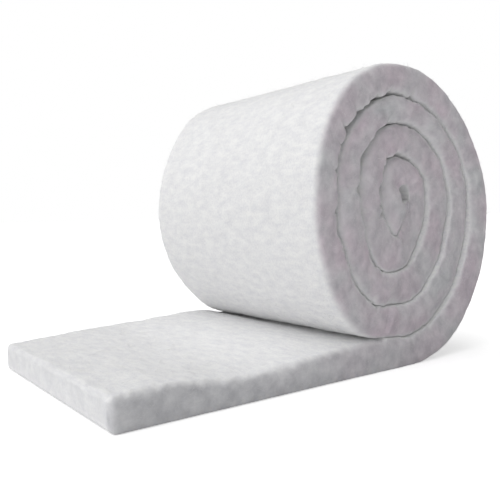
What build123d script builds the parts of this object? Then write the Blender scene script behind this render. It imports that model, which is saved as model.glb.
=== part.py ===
# Soft insulation blanket, wound into a roll with its outer end laid out flat on the floor.
#
# The blanket is one needled piece of white fibre, so the part is one solid.
# +X runs along the unrolled length, with the loose end towards -X.
# +Y runs across the width, and +Z is up.
# The origin is the middle of the bounding box, at floor level.
from build123d import *
from math import acos, atan2, cos, degrees, hypot, pi, radians, sin, tan
import os

# Driving dimensions, in millimetres.
blanket_thickness = 75.0  # thickness as wound
blanket_width = 610.0  # from one cut side to the other
turns = 4  # whole turns still wound on the roll
eye_width = 20.0  # hollow in the middle of the roll, across
eye_height = 28.0  # the same hollow, upright
eye_offset = 30.0  # from the last floor contact to the middle of the eye
crown_offset = 10.0  # from the last floor contact to the highest point
contact_length = 60.0  # flat where the roll presses on the layer under it
loose_length = 750.0  # flat on the floor, from the cut end to the last floor contact
dip_depth = 12.0  # sag of the loose end's top below the thickness as wound
dip_run = 300.0  # length over which it sags, from the crease
swell_rise = 9.0  # rise from there to the swell behind the cut end
swell_run = 220.0  # length of that rise
swell_fall = 8.0  # drop from the swell to the cut end
edge_reach = 9.0  # how far the blanket's soft edges fall back, both ways
edge_turn = 60.0  # degrees of arc in a soft edge
seam_reach = 6.0  # how far each turn's edge falls back from a seam
cut_radius = 12.0  # rounding of the cut end's top and bottom corners
seam_gap = 2.0  # opening between two turns at the ends of the roll
seam_depth = 30.0  # how far that opening reaches in before the turns close up
end_overrun = 2.0  # how far a cutting tool stands out of the face it cuts

# The roll stands on the loose end, and each whole turn is one thickness smaller than the last.
eye_middle = (turns + 1) * blanket_thickness + eye_height / 2
half_width = blanket_width / 2


def quadrant(across, up):
    """Radii of two 45 degree arcs that join a level tangent to an upright one over this span."""
    rise = sin(pi / 4)
    fall = 1 - cos(pi / 4)
    level_side = (rise * across - fall * up) / (rise**2 - fall**2)
    upright_side = (rise * up - fall * across) / (rise**2 - fall**2)
    return level_side, upright_side


def flat_length(index):
    """Length pressed flat under one turn, which fades to nothing towards the eye."""
    return contact_length * (turns - 1 - index) / (turns - 1)


def turn_radii(index):
    """The eight arc radii of one turn's outer face, from its lowest point round to the next."""
    layers = (turns - index) * blanket_thickness
    right = layers + eye_width / 2 + eye_offset
    left = layers + eye_width / 2 - eye_offset
    above = layers + eye_height / 2
    below = eye_middle - index * blanket_thickness
    low_right = quadrant(right, below)
    high_right = quadrant(right - crown_offset, above)
    high_left = quadrant(left + crown_offset, above)
    low_left = quadrant(left - flat_length(index), below - blanket_thickness)
    return [*low_right, *reversed(high_right), *high_left, *reversed(low_left)]


class Winding:
    """Tangent arcs and straights laid end to end, as seen in the XZ plane, turning anticlockwise."""

    def __init__(self, x, z, heading=0.0):
        self.point = Vector(x, z)
        self.heading = heading
        self.edges = []

    def straight(self, length):
        step = Vector(length, 0).rotate(Axis.Z, self.heading)
        self.edges.append(Line(self.point, self.point + step))
        self.point = self.point + step

    def arc(self, radius, angle=45.0):
        tangent = Vector(1, 0).rotate(Axis.Z, self.heading)
        edge = JernArc(self.point, tangent, radius, angle)
        self.edges.append(edge)
        self.point = edge @ 1
        self.heading += angle

    def ease(self, run, shift):
        """An S of two equal arcs that moves to its left by shift over this run."""
        radius = (run**2 + shift**2) / (4 * abs(shift))
        angle = 2 * degrees(atan2(shift, run))
        self.arc(radius, angle)
        self.arc(radius, -angle)


def crease():
    """X of the crease where the outer turn closes on the loose end, and its angle before level."""
    radius = turn_radii(0)[-1]
    angle = acos(1 - seam_gap / radius)
    return -contact_length - radius * sin(angle), degrees(angle)


def contour():
    """Whole outline: over the loose end's top, round its cut end, along the floor and round the roll."""
    crease_x, crease_angle = crease()
    line = Winding(crease_x, blanket_thickness, heading=180.0)
    line.ease(dip_run, dip_depth)
    line.ease(swell_run, -swell_rise)
    line.ease(line.point.X + loose_length - cut_radius, swell_fall)
    line.arc(cut_radius, 90.0)
    line.straight(line.point.Y - cut_radius)
    line.arc(cut_radius, 90.0)
    line.straight(-line.point.X)
    *whole, last = turn_radii(0)
    for radius in whole:
        line.arc(radius)
    line.arc(last, 45.0 - crease_angle)
    return line


def seam():
    """The line between neighbouring turns, from the crease on the loose end inwards to the eye."""
    crease_x, _ = crease()
    line = Winding(crease_x, blanket_thickness + seam_gap / 2)
    line.straight(-crease_x)
    for index in range(1, turns):
        for radius in turn_radii(index):
            line.arc(radius)
        if flat_length(index) > 0:
            line.straight(flat_length(index))
    across = eye_offset - line.point.X
    up = eye_middle - line.point.Y
    angle = 2 * atan2(up, across)
    line.arc(hypot(across, up) / (2 * sin(angle / 2)), degrees(angle))
    return line


def eye():
    """Oval hollow in the middle of the roll, clockwise from its top."""
    line = Winding(eye_offset, eye_middle + eye_height / 2)
    level_side, upright_side = quadrant(eye_width / 2, eye_height / 2)
    for radius in [level_side, upright_side, upright_side, level_side] * 2:
        line.arc(radius, -45.0)
    return line


def edge_section():
    """What a soft edge takes off one face of the blanket, which lies on the left of that face."""
    lead = end_overrun * tan(radians(90 - edge_turn) / 2)
    radius = edge_reach / (2**0.5 * sin(radians(edge_turn) / 2))
    curve = RadiusArc((-edge_reach, 0), (0, edge_reach), -radius)
    outside = Polyline(
        curve @ 1,
        (end_overrun, edge_reach),
        (end_overrun, -end_overrun),
        (-edge_reach - lead, -end_overrun),
        curve @ 0,
    )
    return make_face([curve, outside])


def seam_section():
    """A narrow slit between two turns, whose mouth widens where both their edges fall back."""
    slit = seam_gap / 2
    slope = seam_reach / edge_reach
    right_side = [
        (slit + seam_reach + slope * end_overrun, -end_overrun),
        (slit, edge_reach),
        (slit, seam_depth),
    ]
    left_side = [(-across, depth) for across, depth in reversed(right_side)]
    return make_face(Polyline(*right_side, *left_side, close=True))


def cut_along(line, section):
    """Solid that a section sweeps along a line drawn on the end of the roll that faces -Y."""
    end_plane = Plane.XZ.offset(half_width)
    path = end_plane * Wire(line.edges)
    ahead = path % 0
    to_right = Vector(0, 1, 0).cross(ahead)
    section_plane = Plane(origin=path @ 0, x_dir=to_right, z_dir=ahead)
    return sweep(section_plane * section, path=path)


def extruded(edges, half_length):
    """Solid with this outline, which reaches half_length to both sides of the middle."""
    return extrude(Plane.XZ * make_face(edges), half_length, both=True)


def insulation_blanket():
    """The whole blanket, with its turns showing at both ends of the roll."""
    outline = contour()
    riser = Line(outline.edges[-1] @ 1, outline.edges[0] @ 0)
    blanket = extruded([*outline.edges, riser], half_width)
    tools = [
        cut_along(outline, edge_section()),
        cut_along(seam(), seam_section()),
        cut_along(eye(), edge_section()),
    ]
    for tool in tools:
        blanket = blanket - tool - tool.mirror(Plane.XZ)
    return blanket - extruded(eye().edges, half_width + end_overrun)


right_reach = eye_offset + eye_width / 2 + turns * blanket_thickness
to_middle = (loose_length - right_reach) / 2
blanket = Pos(to_middle, 0, 0) * insulation_blanket()

os.makedirs("parts", exist_ok=True)
export_step(blanket, "parts/insulation_blanket.step")
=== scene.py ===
import math
import random

import bmesh
import bpy
import numpy as np
from mathutils import Matrix, Vector, noise


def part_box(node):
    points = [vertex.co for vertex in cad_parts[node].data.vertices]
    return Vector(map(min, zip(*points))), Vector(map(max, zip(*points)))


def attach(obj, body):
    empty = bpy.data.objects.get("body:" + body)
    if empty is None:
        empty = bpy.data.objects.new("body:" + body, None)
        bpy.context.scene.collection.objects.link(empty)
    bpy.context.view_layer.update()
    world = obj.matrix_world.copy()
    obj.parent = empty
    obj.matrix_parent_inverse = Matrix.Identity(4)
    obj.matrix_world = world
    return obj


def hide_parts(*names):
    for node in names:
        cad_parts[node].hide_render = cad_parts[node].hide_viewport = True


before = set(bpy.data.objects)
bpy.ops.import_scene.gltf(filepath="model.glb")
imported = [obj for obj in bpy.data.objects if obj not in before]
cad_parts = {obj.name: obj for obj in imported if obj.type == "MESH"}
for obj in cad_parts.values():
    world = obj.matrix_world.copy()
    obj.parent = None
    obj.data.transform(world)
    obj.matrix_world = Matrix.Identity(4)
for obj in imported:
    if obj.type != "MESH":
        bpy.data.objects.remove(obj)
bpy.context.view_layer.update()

blanketLow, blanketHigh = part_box("insulation_blanket")


# Camera, as the photo was taken: off the cut end, a little below the middle of the roll.
cameraSetup = {
    "fromRoll": (-1.231, -1.313, 0.370),  # metres from the roll's last floor contact, at mid width
    "yaw": 37.9,  # degrees, from +Y towards +X
    "pitch": -3.3,
    "roll": -1.0,
    "lens": 48.2,
    "clipStart": 0.05,
}


def makeCamera(setup, rollX):
    yaw, pitch, roll = (math.radians(setup[k]) for k in ("yaw", "pitch", "roll"))
    ahead = Vector((math.sin(yaw) * math.cos(pitch), math.cos(yaw) * math.cos(pitch), math.sin(pitch)))
    right = Vector((math.cos(yaw), -math.sin(yaw), 0))
    up = right.cross(ahead)
    tiltedRight = right * math.cos(roll) + up * math.sin(roll)
    tiltedUp = up * math.cos(roll) - right * math.sin(roll)
    data = bpy.data.cameras.new("camera")
    data.lens = setup["lens"]
    data.clip_start = setup["clipStart"]
    camera = bpy.data.objects.new("camera", data)
    x, y, z = setup["fromRoll"]
    turned = Matrix((tiltedRight, tiltedUp, -ahead)).transposed().to_4x4()
    camera.matrix_world = Matrix.Translation((x + rollX, y, z)) @ turned
    bpy.context.scene.collection.objects.link(camera)
    bpy.context.scene.camera = camera
    print("camera: in place")


# The blanket's winding, in metres, along the same tangent arcs as the solid.
winding = {
    "halfWidth": (blanketHigh.y - blanketLow.y) / 2,
    "thickness": 0.075,
    "turns": 4,
    "eyeWidth": 0.020,
    "eyeHeight": 0.028,
    "eyeOffset": 0.030,  # from the last floor contact, away from the loose end
    "crownOffset": 0.010,  # and that of each turn's top
    "contactLength": 0.060,  # flat run where the roll presses on the layer under it
    "looseLength": 0.750,
    "creaseRun": 0.023,  # how far beyond the contact the loose end's top starts to sag
    "dipDepth": 0.012,
    "dipRun": 0.300,
    "swellRise": 0.009,
    "swellRun": 0.220,
    "swellFall": 0.008,  # from there to the cut end
    "cutRadius": 0.012,
    "innerEnd": 70,  # degrees of the fifth turn at which the blanket's inner end is pinched off
}
rollX = blanketLow.x + winding["looseLength"]


def quadrant(across, up):
    # radii of the two 45 degree arcs that go this far across and up
    rise, fall = math.sin(math.pi / 4), 1 - math.cos(math.pi / 4)
    levelSide = (rise * across - fall * up) / (rise**2 - fall**2)
    uprightSide = (rise * up - fall * across) / (rise**2 - fall**2)
    return [levelSide, uprightSide]


def flatLength(w, turn):
    return max(0.0, w["contactLength"] * (w["turns"] - 1 - turn) / (w["turns"] - 1))


def eyeMiddle(w):
    return (w["turns"] + 1) * w["thickness"] + w["eyeHeight"] / 2


def turnRadii(w, turn):
    layers = (w["turns"] - turn) * w["thickness"]
    right = layers + w["eyeWidth"] / 2 + w["eyeOffset"]
    left = layers + w["eyeWidth"] / 2 - w["eyeOffset"]
    above = layers + w["eyeHeight"] / 2
    below = eyeMiddle(w) - turn * w["thickness"]
    lowRight = quadrant(right, below)
    highRight = quadrant(right - w["crownOffset"], above)
    highLeft = quadrant(left + w["crownOffset"], above)
    lowLeft = quadrant(left - flatLength(w, turn), below - w["thickness"])
    return lowRight + highRight[::-1] + highLeft + lowLeft[::-1]


def alongArcs(start, radii, degrees):
    # point on a chain of 45 degree arcs that starts level, once it has turned this far
    x, z = start
    for k, radius in enumerate(radii):
        a, b = math.radians(45 * k), math.radians(min(degrees, 45 * k + 45))
        if b > a:
            x += radius * (math.sin(b) - math.sin(a))
            z += radius * (math.cos(a) - math.cos(b))
    return np.array((x, z))


def outerPoint(w, turn, degrees):
    return alongArcs((0.0, turn * w["thickness"]), turnRadii(w, turn), degrees)


def innerPoint(w, turn, degrees):
    # the next turn's outer face lies on it, and inside the last turns there is the eye
    if turn < w["turns"] - 1 or (turn == w["turns"] - 1 and degrees <= 90):
        return outerPoint(w, turn + 1, degrees)
    levelSide, uprightSide = quadrant(w["eyeWidth"] / 2, w["eyeHeight"] / 2)
    bottom = (w["eyeOffset"], eyeMiddle(w) - w["eyeHeight"] / 2)
    return alongArcs(bottom, [levelSide, uprightSide, uprightSide, levelSide] * 2, degrees)


def ease(run, rise, x):
    # height gained x metres into an S of two equal arcs
    radius = (run**2 + rise**2) / (4 * rise)
    x = min(max(x, 0.0), run)
    near = min(x, run - x)
    part = radius - math.sqrt(radius**2 - near**2)
    return part if x <= run / 2 else rise - part


def creaseBack(w):
    # distance from the last floor contact back to the crease over the loose end
    return w["contactLength"] + w["creaseRun"]


def looseTop(w, x):
    # height of the loose end's top, with x from the last floor contact
    back = -x - creaseBack(w)
    fallStart = w["dipRun"] + w["swellRun"]
    fallRun = w["looseLength"] - creaseBack(w) - fallStart
    height = w["thickness"] - ease(w["dipRun"], w["dipDepth"], back)
    height += ease(w["swellRun"], w["swellRise"], back - w["dipRun"])
    return height - ease(fallRun, w["swellFall"], back - fallStart)


def along(start, stop, step):
    cells = max(1, round(abs(stop - start) / step))
    return [start + (stop - start) * k / cells for k in range(1, cells + 1)]


meshing = {
    "step": 0.0056,  # between rows along the blanket
    "sideStep": 0.0062,  # across the width where a face shows
    "hidden": (0.0, 0.13, 0.33, 0.67, 0.87, 1.0),  # places across the width between turns
    "cutCells": 5,  # round the cut end's upper and lower edge
    "eyeStep": 4,  # degrees between rows inside the last whole turn
    "roundCells": 4,
    "endCells": 9,  # through the thickness, between the two roundings
    "edgeShare": 0.42,  # most of the thickness that one rounding takes
    "pressGap": 0.0006,  # left between two turns
}


def windingRows(w, m):
    # sections along the blanket, from the cut end to the eye: its two faces, and which of them is seen.
    # Here and below w is the winding, m the meshing, s the softness and g the sag.
    rows = []

    def add(outer, inner, degrees, turn, outerShows=False, innerShows=False):
        rows.append({"outer": np.array(outer), "inner": np.array(inner), "degrees": degrees,
                     "heading": math.radians(degrees), "turn": turn, "turned": turn + degrees / 360,
                     "outerShows": outerShows, "innerShows": innerShows})

    cut, radius, flat = -w["looseLength"], w["cutRadius"], w["contactLength"]
    for k in range(m["cutCells"] + 1):
        angle = math.radians(90 * k / m["cutCells"])
        x, fall = cut + radius * (1 - math.cos(angle)), radius * (1 - math.sin(angle))
        add((x, fall), (x, looseTop(w, x) - fall), 0, 0, innerShows=True)
    for x in along(cut + radius, -flat, m["step"]):
        add((x, 0.0), (x, looseTop(w, x)), 0, 0, innerShows=True)
    for x in along(-flat, 0.0, m["step"]):
        add((x, 0.0), (x, w["thickness"]), 0, 0)
    for turn in range(w["turns"]):
        length = sum(turnRadii(w, turn)) * math.radians(45)
        for degrees in along(0, 360, 360 * m["step"] / length):
            add(outerPoint(w, turn, degrees), innerPoint(w, turn, degrees), degrees, turn,
                outerShows=turn == 0)
        flat, nextFlat = flatLength(w, turn), flatLength(w, turn + 1)
        level = (turn + 1) * w["thickness"]
        for x in along(-flat, 0.0, m["step"]) if flat > 0 else []:
            add((x, level), (x * nextFlat / flat, level + w["thickness"]), 0, turn + 1)
    turn, top = w["turns"], w["turns"] * w["thickness"]
    radii = quadrant(w["eyeOffset"] + w["eyeWidth"] / 2, w["thickness"] + w["eyeHeight"] / 2)
    for degrees in along(0, w["innerEnd"], m["eyeStep"]):
        add(alongArcs((0.0, top), radii, degrees), innerPoint(w, turn, degrees), degrees, turn)
    return rows


# How soft the blanket's edges are and how far handling has pushed them about. Lengths are in metres. Where
# a note says nothing else, a pair is how much, as a share or a height, and over what wavelength.
softness = {
    "freeEdge": 0.012,  # rounding of an edge that nothing presses on
    "looseEdge": 0.016,  # and of the loose end's upper edges, which hands have worn
    "farSide": 0.7,  # share of these at the far end, which was cut more crisply
    "floorEdge": 0.3,  # and where the edge lies on the floor
    "floorFade": 12,  # degrees of winding over which it leaves the floor
    "cutCorner": 0.014,  # upright corners of the cut end
    "seamOuter": 0.012,  # rounding beside a seam, on the turn inside it
    "seamInner": 0.014,  # and on the turn outside it, which laps over and falls towards the eye
    "eyeEdge": 0.4,  # share of that round the eye
    "seamGap": 0.0060,  # how far the turns part at their ends
    "gapLeast": 0.3,
    "gapUneven": ((1.5, 0.09), (1.0, 0.03)),
    "squeezed": 0.10,  # share of the seam's width left where the roll's weight closes it
    "tightest": 45,  # degrees of winding from the floor, where that is
    "tightening": 0.8,  # below 1 the seam closes over more of the turn
    "seamFall": 1.5,  # above 1 the inner lip falls back less where the seam is closing
    "ragged": ((0.6, 0.060), (0.4, 0.020)),  # how unevenly the knife left the edges
    "freeRagged": 0.4,  # share of that on an edge that nothing presses on
    "worn": ((1.1, 0.130), (0.7, 0.040), (0.6, 0.016)),  # and hands the loose end's upper ones
    "nick": (2.0, 0.020),  # pulled-out tufts beside the seams
    "nickRarity": 0.22,  # more of it leaves fewer tufts
    "nickInside": 2,  # how much stronger they are on the turn inside the seam
    "lean": 0.011,  # low on the side away from the loose end each turn stands this far proud of the next
    "leanAt": 62,  # degrees of winding where that is most
    "leanFocus": 3,  # more of it keeps the leaning nearer to that
    "leanStart": 1 / 6,  # turns over which it starts
    "leanTurns": (0.5, 1.0),  # and over which it becomes a step in the surface
    "leanUneven": ((0.9, 0.09),),
    "leanSharp": 0.55,  # share of the lip's rounding that goes there
    "cutEndShadeShare": 0.4,  # how much of the cut sides' painted grey shade and layers the blanket's cut end has
    "outerCrown": 0.004,  # each cut side bulges in the middle of its thickness
    "outerCrownUneven": ((0.4, 0.11),),
    "innerCrown": 0.010,
    "innerCrownUneven": ((1.2, 0.11), (0.6, 0.04)),
    "crownLost": 0.8,  # share of it that goes where the turns lean
    "dish": 0.0038,  # how much deeper each turn's end lies than the last
    "dishTilt": 0.15,  # share more of that on the side away from the loose end
    "tiltTurns": 2,  # over which that sets in
    "eyeMouth": (0.0055, 0.020),  # how far the turns part at the eye's mouth, and within what radius
    "eyeSlender": 1.4,  # height over width of that mouth
    "cutShift": 0.003,  # how far the cut end's near corner lies inside the solid
    "cutSkew": 0.048,  # the knife strayed inwards by this slope on its way to the far side
    "skewRun": 0.350,  # metres from the cut end over which that fades
    "wobble": ((0.0036, 0.090), (0.0014, 0.030), (0.0016, 0.014)),  # wander of the turns at the ends
    "wobbleDepth": 0.07,  # how far in from the ends it dies out
    "wobbleCalm": (0.05, 0.08),  # calmer within this depth of the roll's outside, down to this share
    "endRelief": ((0.0020, 0.055), (0.0017, 0.022), (0.0008, 0.0085)),  # of the cut sides
    "reliefCalm": (0.06, 0.35),  # the same for that
    "loft": ((0.0013, 0.110), (0.0007, 0.032), (0.0006, 0.013)),  # of the faces
    "offFloor": (0.002, 0.032),  # height over which the floor lets go of the surface
    "seeds": {"wobble": 2, "loft": 11, "endRelief": 21},
}

# The roll's own sag, as the photo shows it: it bellies out low on the side away from the loose end, and at
# its far end over the loose end too. The pairs in the two tables are metres at the near and the far end.
sag = {
    "middle": (0.030, 0.352),  # of the roll's outline, from the last floor contact
    "radius": 0.352,  # where the bulges are at their full size
    "bulges": {  # how far it lies outside the arcs, by direction from the middle in degrees
        -90: (0.005, 0.003), -60: (0.029, 0.012), -40: (0.032, 0.013), -20: (0.027, 0.010),
        0: (0.018, 0.005), 15: (0.009, 0.001), 30: (-0.009, -0.004), 45: (-0.015, -0.006),
        60: (-0.008, -0.008), 80: (0.0, -0.014), 98: (0.0, -0.016), 112: (0.004, -0.006),
        124: (0.005, 0.009), 140: (0.0, 0.004), 155: (-0.009, 0.008), 185: (-0.012, 0.020),
        206: (-0.003, 0.022), 222: (0.004, 0.002), 240: (0.0, 0.0),
    },
    "bulgeSpread": (-12, -6, 0, 6, 12),  # degrees over which these are evened out
    "inwards": 1.2,  # how fast the bulges die out towards the middle
    "fadeOut": (0.36, 0.44),  # metres from the middle, so the loose end stays flat
    "eyeLift": 0.013,  # the inner turns sit higher than the arcs put them
    "liftFrom": (0.240, 0.350),  # height over which that sets in
    "liftFade": (0.180, 0.270),  # and distance from the middle over which it goes
    "ruck": {  # how much higher the loose end's top lies, by place from the last floor contact
        -0.750: (0.0, 0.0), -0.690: (0.003, 0.0), -0.620: (-0.003, -0.002), -0.560: (-0.010, 0.003),
        -0.480: (-0.016, 0.012), -0.430: (-0.015, 0.018), -0.370: (-0.008, 0.021), -0.300: (-0.002, 0.023),
        -0.240: (0.0, 0.023), -0.170: (-0.001, 0.019), -creaseBack(winding): (0.0, 0.0),
    },
    "ruckSpread": (-0.030, -0.015, 0.0, 0.015, 0.030),
    "ruckStart": 0.05,  # metres from the crease over which it sets in
}


def grain(points, size, seed):
    # smooth noise between about -1 and 1 with features of this size
    shift = Vector([seed * k for k in (7.31, 3.17, 5.53)])
    return np.array([noise.noise(Vector(p) / size + shift) * 1.6 for p in points])


def layered(points, layers, seed):
    return sum(amount * grain(points, size, seed + k) for k, (amount, size) in enumerate(layers))


def ripple(place, side, size, layer):
    # noise along an edge, with another course for each side and layer
    return noise.noise(Vector((place / size, side * 3.3, layer)))


def uneven(place, side, layers):
    # a share about 1, and a number added to the side gives it another course
    return 1 + sum(share * ripple(place, side, size, size) for share, size in layers)


def ramp(x, start, stop):
    # 0 up to start and 1 from stop on
    return np.clip((x - start) / (stop - start), 0, 1)


def smooth(x, start, stop):
    t = ramp(x, start, stop)
    return t * t * (3 - 2 * t)


def rounding(reach, depth, roundness, cells):
    # distance from the face, and how far the end falls back there: a quarter of an oval, or a mere bevel
    profile = []
    for k in range(cells + 1):
        t, angle = k / cells, math.pi / 2 * k / cells
        distance = (1 - math.cos(angle)) * roundness + t * (1 - roundness)
        fall = (1 - math.sin(angle)) * roundness + (1 - t) ** 2 * (1 - roundness)
        profile.append((reach * distance, depth * fall))
    return profile


def seamOpen(row, s):
    # 1 over the eye on the loose end's side, where the turns part, and almost shut low on the other
    tight = 0.5 + 0.5 * math.cos(row["heading"] - math.radians(s["tightest"]))
    return 1 - (1 - s["squeezed"]) * tight ** s["tightening"]


def leaning(row, w, s):
    # 1 where the turns lean most, low on the side away from the loose end
    towards = max(0.0, math.cos(row["heading"] - math.radians(s["leanAt"]))) ** s["leanFocus"]
    return towards * min(1, row["turned"] / s["leanStart"]) * (row["turned"] < w["turns"])


def edges(row, side, w, s):
    # reach, depth and roundness of the outer and the inner edge, and how far the next turn stands off
    place = row["place"]
    ragged, worn = uneven(place, side, s["ragged"]), uneven(place, side, s["worn"])
    share, size = s["nick"]
    nick = share * max(0.0, ripple(place, side, size, 5) - s["nickRarity"])
    crisp = s["farSide"] if side > 0 else 1
    free = s["freeEdge"] * (1 + s["freeRagged"] * (ragged - 1)) * crisp
    floor = free * s["floorEdge"]
    if row["innerShows"]:
        upper = s["looseEdge"] * worn * crisp
        return (floor, floor, 1), (upper, upper, 1), 0.0
    if row["turned"] == 0:
        return (floor, floor, 1), (s["seamInner"], s["seamInner"] * s["squeezed"], 0), 0.0
    parted, proud = seamOpen(row, s), leaning(row, w, s)
    gap = s["seamGap"] * parted * max(s["gapLeast"], uneven(place, side + 1, s["gapUneven"]) + nick)
    inner = s["seamInner"] * (1 - s["leanSharp"] * proud) * (ragged + nick)
    inner *= s["eyeEdge"] if row["turn"] >= w["turns"] - 1 else 1
    innerEdge = (inner, inner * max(parted, proud), max(parted, proud))
    if row["turn"] == 0:
        outer = free + (floor - free) * math.exp(-row["degrees"] / s["floorFade"])
        return (outer, outer, 1), innerEdge, gap
    outer = s["seamOuter"] * (ragged + s["nickInside"] * nick)
    return (outer, outer * parted ** s["seamFall"], parted), innerEdge, gap


class BlanketMesh:
    # points and faces, and the traits by which each point is pushed about once all are there
    def __init__(self):
        self.points, self.faces, self.traits = [], [], {}

    def point(self, place, **traits):
        self.points.append(place)
        for name, value in traits.items():
            self.traits.setdefault(name, []).append(value)
        return len(self.points) - 1

    def join(self, near, far):
        # faces between two lines of points that may differ in number
        a, b = 0, 0
        if len(near) == len(far):
            self.faces += [(near[k], near[k + 1], far[k + 1], far[k]) for k in range(len(near) - 1)]
            return
        while a < len(near) - 1 or b < len(far) - 1:
            nextNear = self.points[near[min(a + 1, len(near) - 1)]][1]
            nextFar = self.points[far[min(b + 1, len(far) - 1)]][1]
            if b == len(far) - 1 or (a < len(near) - 1 and nextNear <= nextFar):
                self.faces.append((near[a], near[a + 1], far[b]))
                a += 1
            else:
                self.faces.append((near[a], far[b + 1], far[b]))
                b += 1


def measured(row, place, w, m, s):
    # a row with what all its points share
    across, turned = row["inner"] - row["outer"], row["turned"]
    fromCut = row["outer"][0] + w["looseLength"] if turned == 0 else math.inf
    corner = s["cutCorner"]
    tilt = s["dishTilt"] * math.sin(row["heading"]) * min(1, turned / s["tiltTurns"])
    return row | {
        "place": place,
        "across": across / np.linalg.norm(across),
        "inward": (-math.sin(row["heading"]), 0.0, math.cos(row["heading"])),
        "thickness": np.linalg.norm(across) - (0.0 if row["innerShows"] else m["pressGap"]),
        "cornerFall": corner - math.sqrt(corner**2 - max(0.0, corner - fromCut) ** 2),
        "dished": s["dish"] * turned * (1 + tilt),
        "shadeShare": s["cutEndShadeShare"] * max(0.0, 1 - fromCut / w["cutRadius"]),
    }


def rowPoint(mesh, row, w, d, y, **traits):
    # a point this deep under the outer face and this far across the width
    x, z = row["outer"] + row["across"] * d
    buried = 0.0 if row["innerShows"] else d + row["turn"] * w["thickness"]
    return mesh.point((x, y, z), inward=row["inward"], unrolled=(row["place"], y, d), buried=buried,
                      **traits)


def sideColumn(mesh, row, side, w, m, s):
    # points through the thickness on one of the blanket's long sides
    place, thickness, leans = row["place"], row["thickness"], leaning(row, w, s)
    lean = s["lean"] * leans * ramp(row["turned"], *s["leanTurns"])
    lean *= uneven(place, side + 4, s["leanUneven"])
    if row["turn"] == 0:
        crown = s["outerCrown"] * uneven(place, side + 2, s["outerCrownUneven"])
    else:
        crown = s["innerCrown"] * (1 - s["crownLost"] * leans)
        crown *= uneven(place, side + 2, s["innerCrownUneven"])
    outerEdge, innerEdge, standOff = edges(row, side, w, s)
    outerReach, innerReach = (min(edge[0], m["edgeShare"] * thickness) for edge in (outerEdge, innerEdge))
    deepest = thickness - standOff
    outerRound = rounding(outerReach, *outerEdge[1:], m["roundCells"])
    innerRound = rounding(innerReach, *innerEdge[1:], m["roundCells"])
    innerRound = [(deepest - d, fall) for d, fall in reversed(innerRound)]
    start, stop = outerRound[-1][0], innerRound[0][0]
    between = [(start + (stop - start) * k / m["endCells"], 0.0) for k in range(1, m["endCells"])]
    column = []
    for d, fall in outerRound + between + innerRound:
        crownFall = crown * ((2 * d / thickness - 1) ** 2 - 1)
        leanFall = lean * (1 - d / thickness)
        y = side * (w["halfWidth"] - fall - row["cornerFall"] - crownFall - row["dished"] - leanFall)
        outerShare = max(0.0, 1 - d / max(outerReach, 1e-6))
        innerShare = max(0.0, 1 - (deepest - d) / max(innerReach, 1e-6))
        column.append(rowPoint(mesh, row, w, d, y, side=side, shows=1.0,
                               outerShare=outerShare * row["outerShows"],
                               innerShare=innerShare * row["innerShows"],
                               cutShare=1 - max(outerShare, innerShare) ** 2))
    return column


def acrossLine(mesh, row, w, sides, j, d, spread, cutShare, outerShare=0.0, innerShare=0.0):
    # points across the width, between the two sides' points of the same number
    first, final = sides[-1][j], sides[1][j]
    y0, y1 = mesh.points[first][1], mesh.points[final][1]
    inside = [rowPoint(mesh, row, w, d, y0 + (y1 - y0) * t, side=0, shows=max(outerShare, innerShare),
                       outerShare=outerShare, innerShare=innerShare, cutShare=cutShare)
              for t in spread[1:-1]]
    return [first] + inside + [final]


def drawRow(mesh, row, w, m, s, spreads):
    # a column of points on each long side, and a line of them across each face
    outerShows, innerShows, shadeShare = row["outerShows"], row["innerShows"], row["shadeShare"]
    sides = {side: sideColumn(mesh, row, side, w, m, s) for side in (-1, 1)}
    outer = acrossLine(mesh, row, w, sides, 0, 0.0, spreads[outerShows], shadeShare, outerShare=float(outerShows))
    inner = acrossLine(mesh, row, w, sides, -1, row["thickness"], spreads[innerShows], shadeShare,
                       innerShare=float(innerShows))
    return {"outer": outer, "inner": inner, "sides": sides}


def joinRows(mesh, last, drawn):
    mesh.join(last["outer"], drawn["outer"])
    mesh.join(drawn["inner"], last["inner"])
    for side in (-1, 1):
        near, far = last["sides"][side], drawn["sides"][side]
        quads = [(near[k], far[k], far[k + 1], near[k + 1]) for k in range(len(near) - 1)]
        mesh.faces += quads if side < 0 else [q[::-1] for q in quads]


def closeEnd(mesh, row, drawn, w, s, spreads):
    # the blanket's cut end, which shows, and its inner end at the eye
    sides, atCut = drawn["sides"], row["place"] == 0
    count = len(sides[1])
    lines = [drawn["outer"]]
    for j in range(1, count - 1):
        depth = row["thickness"] * j / (count - 1)
        lines.append(acrossLine(mesh, row, w, sides, j, depth, spreads[atCut], s["cutEndShadeShare"]))
    lines.append(drawn["inner"])
    for near, far in zip(lines, lines[1:]):
        mesh.join(far, near) if atCut else mesh.join(near, far)


def blanketMesh(w, m, s):
    mesh, rows = BlanketMesh(), windingRows(w, m)
    middle = [(row["outer"] + row["inner"]) / 2 for row in rows]
    places = np.concatenate(([0], np.cumsum([np.linalg.norm(b - a) for a, b in zip(middle, middle[1:])])))
    dense = np.linspace(0, 1, round(2 * w["halfWidth"] / m["sideStep"]) + 1)
    spreads = {True: dense, False: np.array(m["hidden"])}
    last = None
    for row, place in zip(rows, places):
        row = measured(row, place, w, m, s)
        drawn = drawRow(mesh, row, w, m, s, spreads)
        if last:
            joinRows(mesh, last, drawn)
        else:
            closeEnd(mesh, row, drawn, w, s, spreads)
        last = drawn
    closeEnd(mesh, row, last, w, s, spreads)
    return mesh


def evened(table, at, spread, toFar, period=None):
    # height from a table of both ends, evened out over the spread and mixed across the width
    near, far = (sum(np.interp(at + aside, list(table), heights, period=period) for aside in spread)
                 / len(spread) for heights in zip(*table.values()))
    return near + (far - near) * toFar


def acrossWidth(points, w):
    # 0 at the near end and 1 at the far one
    return (points[:, 1] + w["halfWidth"]) / (2 * w["halfWidth"])


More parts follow.
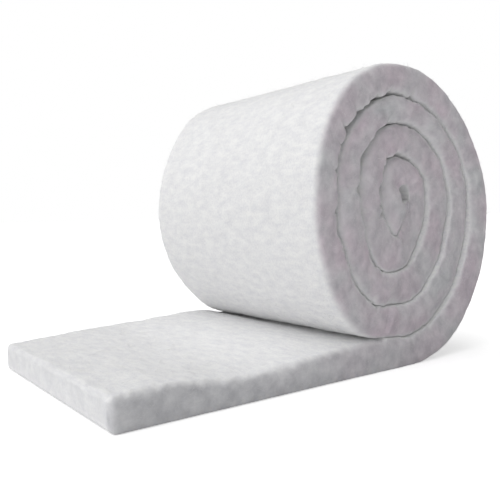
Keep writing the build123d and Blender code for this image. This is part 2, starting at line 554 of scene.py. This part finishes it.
def roughened(points, traits, nearEnd, s):
    # the turns wander at their ends, and the faces and cut sides are uneven
    depth, share = s["wobbleCalm"]
    wobbleShare = np.clip(traits["buried"] / depth, share, 1)
    depth, share = s["reliefCalm"]
    reliefShare = np.clip(traits["buried"] / depth, share, 1)
    offFloor = ramp(points[:, 2], *s["offFloor"])
    endPlaces = points * (1, 0, 1) + np.outer(np.sign(points[:, 1]), (0, 0.5, 0))  # other noise at each end
    wobble = layered(endPlaces, s["wobble"], s["seeds"]["wobble"]) * nearEnd * offFloor * wobbleShare
    loft = layered(traits["unrolled"] * (1, 1, 0), s["loft"], s["seeds"]["loft"])
    relief = layered(endPlaces, s["endRelief"], s["seeds"]["endRelief"])
    inwards = wobble - loft * traits["outerShare"] * offFloor + loft * traits["innerShare"]
    moved = points + traits["inward"] * inwards[:, None]
    moved[:, 1] += traits["side"] * traits["cutShare"] * relief * reliefShare
    return moved


def eyeParting(points, nearEnd, w, s):
    # the turns round the eye stand off from each other at its mouth
    fromEye = (points - (w["eyeOffset"], 0.0, eyeMiddle(w))) * (1, 0, 1)
    away = np.maximum(np.hypot(fromEye[:, 0], fromEye[:, 2] / s["eyeSlender"]), 1e-4)
    parted, within = s["eyeMouth"]
    return fromEye * (parted * np.exp(-((away / within) ** 2)) * nearEnd / away)[:, None]


def sagged(points, w, g):
    # the whole roll eased to its sagging outline, least near the eye
    x, z = points[:, 0] - g["middle"][0], points[:, 2] - g["middle"][1]
    away, direction = np.hypot(x, z), np.degrees(np.arctan2(z, x))
    reach = evened(g["bulges"], direction, g["bulgeSpread"], acrossWidth(points, w), period=360)
    share = np.minimum(1, away / g["radius"]) ** g["inwards"] * (1 - ramp(away, *g["fadeOut"]))
    shift = (reach * share / np.maximum(away, 1e-6))[:, None]
    lift = g["eyeLift"] * smooth(points[:, 2], *g["liftFrom"]) * (1 - smooth(away, *g["liftFade"]))
    return points + shift * np.column_stack((x, np.zeros(len(points)), z)) + np.outer(lift, (0, 0, 1))


def rucked(points, w, g):
    # how much higher the loose end lies, most at its top and not at all on the floor
    x, z, crease = points[:, 0], points[:, 2], creaseBack(w)
    ruck = evened(g["ruck"], x, g["ruckSpread"], acrossWidth(points, w))
    ruck *= smooth(-x, crease, crease + g["ruckStart"])
    return ruck * (z <= w["thickness"]) * z / w["thickness"]


def pushed(mesh, w, s, g):
    # the mesh's points once handling and weight have moved them
    points = np.array(mesh.points)
    traits = {name: np.array(values) for name, values in mesh.traits.items()}
    nearEnd = np.exp(-(((w["halfWidth"] - abs(points[:, 1])) / s["wobbleDepth"]) ** 2))
    moved = roughened(points, traits, nearEnd, s) + eyeParting(points, nearEnd, w, s)
    moved = sagged(moved, w, g)
    moved[:, 2] += rucked(points, w, g)
    skew = s["cutShift"] + s["cutSkew"] * (points[:, 1] + w["halfWidth"])
    moved[:, 0] += skew * (1 - ramp(points[:, 0] + w["looseLength"], 0, s["skewRun"]))
    moved[:, 2] = np.maximum(moved[:, 2], 0.0)
    return moved


def meshObject(name, points, faces):
    data = bpy.data.meshes.new(name)
    data.from_pydata([tuple(p) for p in points], [], faces)
    thing = bpy.data.objects.new(name, data)
    bpy.context.scene.collection.objects.link(thing)
    return thing


def addAttribute(data, name, kind, values):
    attribute = data.attributes.new(name, kind, "POINT")
    key = "vector" if kind == "FLOAT_VECTOR" else "value"
    attribute.data.foreach_set(key, np.asarray(values, np.float32).ravel())


def readAttribute(data, name):
    values = np.zeros(len(data.vertices), np.float32)
    data.attributes[name].data.foreach_get("value", values)
    return values


def makeBlanket():
    mesh = blanketMesh(winding, meshing, softness)
    points = pushed(mesh, winding, softness, sag)
    points[:, 0] += rollX
    blanket = meshObject("needled_blanket", points, mesh.faces)
    addAttribute(blanket.data, "unrolled", "FLOAT_VECTOR", mesh.traits["unrolled"])
    addAttribute(blanket.data, "cutFace", "FLOAT", mesh.traits["cutShare"])
    addAttribute(blanket.data, "shows", "FLOAT", mesh.traits["shows"])
    edit = bmesh.new()
    edit.from_mesh(blanket.data)
    bmesh.ops.dissolve_degenerate(edit, dist=1e-6, edges=edit.edges)
    bmesh.ops.recalc_face_normals(edit, faces=edit.faces)
    edit.to_mesh(blanket.data)
    edit.free()
    blanket.data.shade_smooth()
    triangles = sum(len(p.vertices) - 2 for p in blanket.data.polygons)
    print("blanket:", len(blanket.data.vertices), "points", triangles, "triangles")
    return blanket


# Loose fibres: the fine hairs that stand off the mat, drawn coarser than life so that they show.
fibres = {
    "cut": {"count": 7500, "length": (0.006, 0.016), "lift": 0.30, "seed": 5},
    "face": {"count": 7500, "length": (0.008, 0.022), "lift": 0.16, "seed": 6},
    "liftRange": (0.1, 1.6),  # shares of the lift that single hairs have
    "radius": 0.00022,
    "taper": 0.25,  # share of it that goes at each bend
    "corners": (0.0, 2.09, 4.19),  # radians round the hair
    "bends": 3,
    "kink": 0.45,
    "rootDepth": 0.0004,
    "leastHeight": 0.0004,  # above the floor
    "rootsFrom": 0.012,  # height above which hairs grow
    "cutFrom": 0.02,  # value of the cutFace attribute from which a face counts as cut
}


def hairyFaces(data, f, where):
    # the mesh's faces that are seen and off the floor, on the cut sides or on the mat's own faces
    cut, shows = readAttribute(data, "cutFace"), readAttribute(data, "shows")
    found = []
    for polygon in data.polygons:
        corners = list(polygon.vertices)
        onCut = cut[corners].max() > f["cutFrom"]
        if polygon.center.z > f["rootsFrom"] and shows[corners].min() > 0.5 and onCut == (where == "cut"):
            found.append(polygon)
    return found


def drawHair(verts, faces, at, along, step, f, chance):
    # rings of three points at the bends, and a tip
    first = len(verts)
    for k in range(f["bends"]):
        side = along.orthogonal().normalized()
        other = along.cross(side)
        radius = f["radius"] * (1 - f["taper"] * k)
        for angle in f["corners"]:
            ring = at + (side * math.cos(angle) + other * math.sin(angle)) * radius
            verts.append((ring.x, ring.y, max(ring.z, f["leastHeight"])))
        along = (along + Vector([chance.gauss(0, f["kink"]) for _ in range(3)])).normalized()
        at = at + along * step
    verts.append((at.x, at.y, max(at.z, f["leastHeight"])))
    faces.append((first + 2, first + 1, first))
    for k in range(f["bends"] - 1):
        for j in range(3):
            a, b = first + 3 * k + j, first + 3 * k + (j + 1) % 3
            faces.append((a, b, b + 3, a + 3))
    last, tip = first + 3 * (f["bends"] - 1), first + 3 * f["bends"]
    faces += [(last + j, last + (j + 1) % 3, tip) for j in range(3)]


def makeFibres(blanket, f, where):
    kind = f[where]
    chance = random.Random(kind["seed"])
    points, polygons = blanket.data.vertices, hairyFaces(blanket.data, f, where)
    areas = np.cumsum([p.area for p in polygons])
    verts, faces = [], []
    for _ in range(kind["count"]):
        polygon = polygons[int(np.searchsorted(areas, chance.random() * areas[-1]))]
        weights = [chance.random() for _ in polygon.vertices]
        at = sum((points[v].co * k for v, k in zip(polygon.vertices, weights)), Vector()) / sum(weights)
        along = Vector([chance.gauss(0, 1) for _ in range(3)])
        along -= along.project(polygon.normal)
        lifted = polygon.normal * kind["lift"] * chance.uniform(*f["liftRange"])
        along = (along.normalized() + lifted).normalized()
        step = chance.uniform(*kind["length"]) / f["bends"]
        drawHair(verts, faces, at - polygon.normal * f["rootDepth"], along, step, f, chance)
    hairs = meshObject("loose_fibres_" + where, verts, faces)
    hairs.data.shade_smooth()
    print("loose fibres:", where, kind["count"])
    return hairs


# Needled ceramic fibre: spun white fibre, felted by barbed needles and cut with a knife. To the eye it is
# matt and snow white, faintly mottled where the mat is denser, and layered on its cut sides. These are
# painted grey for the shade they lie in, blotched with the mat's uneven tone, and the roll's get a painted
# rosy shade tint.
needledFibre = {
    "faceColor": "#F3F3F2",
    "faceShade": "#E1E1E4",
    # painted shade: the cut sides' grey, darker than the faces' white, stands in for the shade they lie in;
    # the blotches between these two are the mat's uneven tone
    "cutShadedColor": "#E0E0E2",
    "cutShadedDark": "#C0C0C4",
    "cutShadeTint": "#FFF1F8",  # painted shade: a faint rosy cast multiplied onto the roll's cut ends, where they lie in shade, as a tint
    "shadeTintFrom": (0.3, 1.1),  # metres along the blanket over which that sets in
    "roughness": 0.95,
    "specular": 0.1,
    "sheen": 0.25,  # of the fine fibre ends
    "sheenRoughness": 0.6,
    # sizes in millimetres
    "mottle": 15,  # dense and thin patches of the mat
    "speckle": 4.5,  # lone shots and fibre knots, drawn coarser than life
    "cutBlotch": 30,
    "shadeTintPatch": 110,
    "fibreSwirl": 6,  # single fibres are too fine to show, so these are tufts of them
    "needleSpacing": 9,  # drawn wider than the needles' own
    "layerThickness": 4,  # and thicker than the layers are
    "reliefHeight": 1.5,
    # shares, and the ranges of a pattern that are drawn out to its full contrast
    "mottleStretch": 0.45,  # below 1 the patches are drawn out across the width
    "speckleShare": 0.45,
    "layerStretch": (0.12, 0.3, 1.0),  # the same for the layers, along the blanket, across and through it
    "faceRange": (0.36, 0.62),
    "cutRange": (0.3, 0.68),
    "shadeTintRange": (0.3, 0.65),
    "prickRange": (0.0, 0.25),
    "reliefStrength": 0.45,
}


def linear(hexColor):
    channels = [int(hexColor[k:k + 2], 16) / 255 for k in (1, 3, 5)]
    return [c / 12.92 if c <= 0.04045 else ((c + 0.055) / 1.055) ** 2.4 for c in channels] + [1.0]


def perMetre(millimetres):
    return 1000 / millimetres


def addNode(tree, kind, settings=None, **inputs):
    # inputs are named with _ for a space, or numbered as _0 where the name is not the only one
    node = tree.nodes.new(kind)
    for key, value in (settings or {}).items():
        setattr(node, key, value)
    for key, value in inputs.items():
        socket = node.inputs[int(key[1:])] if key[0] == "_" else node.inputs[key.replace("_", " ")]
        if isinstance(value, bpy.types.NodeSocket):
            tree.links.new(value, socket)
        else:
            socket.default_value = value
    return node


def clearTree(owner):
    owner.use_nodes = True
    owner.node_tree.nodes.clear()
    return owner.node_tree


def faceNodes(tree, f, place):
    # the mat's faces: white, with greyer specks and patches
    stretched = addNode(tree, "ShaderNodeMapping", {"vector_type": "POINT"}, Vector=place,
                        Scale=(1.0, f["mottleStretch"], 1.0))
    mottle = addNode(tree, "ShaderNodeTexNoise", Vector=stretched.outputs[0], Scale=perMetre(f["mottle"]),
                     Detail=3.0, Roughness=0.6)
    speckle = addNode(tree, "ShaderNodeTexNoise", Vector=place, Scale=perMetre(f["speckle"]), Detail=2.0,
                      Roughness=0.7)
    spotted = addNode(tree, "ShaderNodeMix", {"data_type": "FLOAT"}, _0=f["speckleShare"],
                      _2=mottle.outputs["Fac"], _3=speckle.outputs["Fac"])
    low, high = f["faceRange"]
    amount = addNode(tree, "ShaderNodeMapRange", Value=spotted.outputs[0], From_Min=low, From_Max=high)
    return addNode(tree, "ShaderNodeMix", {"data_type": "RGBA"}, _0=amount.outputs[0],
                   _6=linear(f["faceShade"]), _7=linear(f["faceColor"])).outputs[2]


def cutNodes(tree, f, place):
    # the cut sides: painted grey shade, blotched with the mat's uneven tone, and a painted rosy shade tint
    # in patches of the rolled part
    blotch = addNode(tree, "ShaderNodeTexNoise", Vector=place, Scale=perMetre(f["cutBlotch"]), Detail=4.0,
                     Roughness=0.6)
    low, high = f["cutRange"]
    amount = addNode(tree, "ShaderNodeMapRange", Value=blotch.outputs["Fac"], From_Min=low, From_Max=high)
    color = addNode(tree, "ShaderNodeMix", {"data_type": "RGBA"}, _0=amount.outputs[0],
                    _6=linear(f["cutShadedDark"]), _7=linear(f["cutShadedColor"]))
    wide = addNode(tree, "ShaderNodeTexNoise", Vector=place, Scale=perMetre(f["shadeTintPatch"]), Detail=2.0)
    low, high = f["shadeTintRange"]
    patches = addNode(tree, "ShaderNodeMapRange", Value=wide.outputs["Fac"], From_Min=low, From_Max=high)
    # painted shade tint: it grows along the blanket into the roll's cut ends, in patches
    start, stop = f["shadeTintFrom"]
    parts = addNode(tree, "ShaderNodeSeparateXYZ", Vector=place)
    rolled = addNode(tree, "ShaderNodeMapRange", Value=parts.outputs["X"], From_Min=start, From_Max=stop)
    shadeTint = addNode(tree, "ShaderNodeMath", {"operation": "MULTIPLY"}, _0=patches.outputs[0],
                    _1=rolled.outputs[0])
    return addNode(tree, "ShaderNodeMix", {"data_type": "RGBA", "blend_type": "MULTIPLY"},
                   _0=shadeTint.outputs[0], _6=color.outputs[2], _7=linear(f["cutShadeTint"])).outputs[2]


def reliefNodes(tree, f, place, cut):
    # tufts and needle pricks on the faces, layers on the cut sides
    swirl = addNode(tree, "ShaderNodeTexNoise", Vector=place, Scale=perMetre(f["fibreSwirl"]), Detail=4.0,
                    Roughness=0.65, Distortion=1.6)
    needles = addNode(tree, "ShaderNodeTexVoronoi", Vector=place, Scale=perMetre(f["needleSpacing"]),
                      Randomness=0.75)
    low, high = f["prickRange"]
    pricks = addNode(tree, "ShaderNodeMapRange", Value=needles.outputs["Distance"], From_Min=low,
                     From_Max=high)
    tufts = addNode(tree, "ShaderNodeMath", {"operation": "ADD"}, _0=swirl.outputs["Fac"],
                    _1=pricks.outputs[0])
    stretched = addNode(tree, "ShaderNodeMapping", {"vector_type": "POINT"}, Vector=place,
                        Scale=[k * perMetre(f["layerThickness"]) for k in f["layerStretch"]])
    layers = addNode(tree, "ShaderNodeTexNoise", Vector=stretched.outputs[0], Scale=1.0, Detail=3.0,
                     Roughness=0.6)
    heights = addNode(tree, "ShaderNodeMix", {"data_type": "FLOAT"}, _0=cut, _2=tufts.outputs[0],
                      _3=layers.outputs["Fac"])
    return addNode(tree, "ShaderNodeBump", Height=heights.outputs[0], Strength=f["reliefStrength"],
                   Distance=f["reliefHeight"] / 1000).outputs[0]


def fibreMaterial(f):
    material = bpy.data.materials.new("needled ceramic fibre")
    tree = clearTree(material)
    place = addNode(tree, "ShaderNodeAttribute", {"attribute_name": "unrolled"}).outputs["Vector"]
    cut = addNode(tree, "ShaderNodeAttribute", {"attribute_name": "cutFace"}).outputs["Fac"]
    # painted shade: where cutFace is 1 the surface takes the painted grey and rosy shade colour of cutNodes
    color = addNode(tree, "ShaderNodeMix", {"data_type": "RGBA"}, _0=cut, _6=faceNodes(tree, f, place),
                    _7=cutNodes(tree, f, place))
    shader = addNode(tree, "ShaderNodeBsdfPrincipled", Base_Color=color.outputs[2],
                     Roughness=f["roughness"], Specular_IOR_Level=f["specular"], Sheen_Weight=f["sheen"],
                     Sheen_Roughness=f["sheenRoughness"], Normal=reliefNodes(tree, f, place, cut))
    addNode(tree, "ShaderNodeOutputMaterial", Surface=shader.outputs[0])
    print("material: needled ceramic fibre")
    return material


# Plain studio: a white sweep to the camera, one very broad soft lamp overhead towards the loose end, and a
# weaker one low on that side, which reaches into the crease.
studio = {
    "worldStrength": 0.272,
    "lamps": {
        "key": {"from": (-0.40, 0.14, 0.90), "strength": 1.83, "angle": 76},
        "fill": {"from": (-0.98, 0.0, 0.08), "strength": 0.84, "angle": 34},
    },
    "white": (1, 1, 1, 1),
    "floorColor": "#F2F2F2",
    "floorLift": 0.50,  # glow that only the camera sees
    "floorReach": 30,
    "floorDrop": 0.0005,
}


def makeWorld(t):
    world = bpy.data.worlds.new("studio")
    bpy.context.scene.world = world
    tree = clearTree(world)
    path = addNode(tree, "ShaderNodeLightPath")
    strength = addNode(tree, "ShaderNodeMapRange", Value=path.outputs["Is Camera Ray"],
                       To_Min=t["worldStrength"], To_Max=1.0)
    background = addNode(tree, "ShaderNodeBackground", Color=t["white"], Strength=strength.outputs[0])
    addNode(tree, "ShaderNodeOutputWorld", Surface=background.outputs[0])


def makeLamps(t):
    for name, setup in t["lamps"].items():
        sun = bpy.data.lights.new(name, "SUN")
        sun.energy, sun.angle = setup["strength"], math.radians(setup["angle"])
        lamp = bpy.data.objects.new(name, sun)
        lamp.rotation_euler = Vector(setup["from"]).to_track_quat("Z", "Y").to_euler()
        bpy.context.scene.collection.objects.link(lamp)


# Studio paper: matt white, and lit from within to the camera only, so that it meets the backdrop unseen.
def makeFloor(t):
    far = t["floorReach"]
    corners = [(-far, -far, 0), (far, -far, 0), (far, far, 0), (-far, far, 0)]
    floor = meshObject("floor", corners, [(0, 1, 2, 3)])
    floor.location.z = -t["floorDrop"]
    material = bpy.data.materials.new("studio paper")
    tree = clearTree(material)
    path = addNode(tree, "ShaderNodeLightPath")
    matt = addNode(tree, "ShaderNodeBsdfDiffuse", Color=linear(t["floorColor"]))
    lift = addNode(tree, "ShaderNodeMath", {"operation": "MULTIPLY"}, _0=path.outputs["Is Camera Ray"],
                   _1=t["floorLift"])
    glow = addNode(tree, "ShaderNodeEmission", Color=t["white"], Strength=lift.outputs[0])
    both = addNode(tree, "ShaderNodeAddShader", _0=matt.outputs[0], _1=glow.outputs[0])
    addNode(tree, "ShaderNodeOutputMaterial", Surface=both.outputs[0])
    floor.data.materials.append(material)


makeCamera(cameraSetup, rollX)
blanket = makeBlanket()
material = fibreMaterial(needledFibre)
pieces = [blanket, makeFibres(blanket, fibres, "cut"), makeFibres(blanket, fibres, "face")]
for piece in pieces:
    piece.data.materials.append(material)
    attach(piece, "root")
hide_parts("insulation_blanket")
makeWorld(studio)
makeLamps(studio)
makeFloor(studio)
print("studio: world, lamps and floor")
bpy.context.scene.view_settings.view_transform = "Standard"
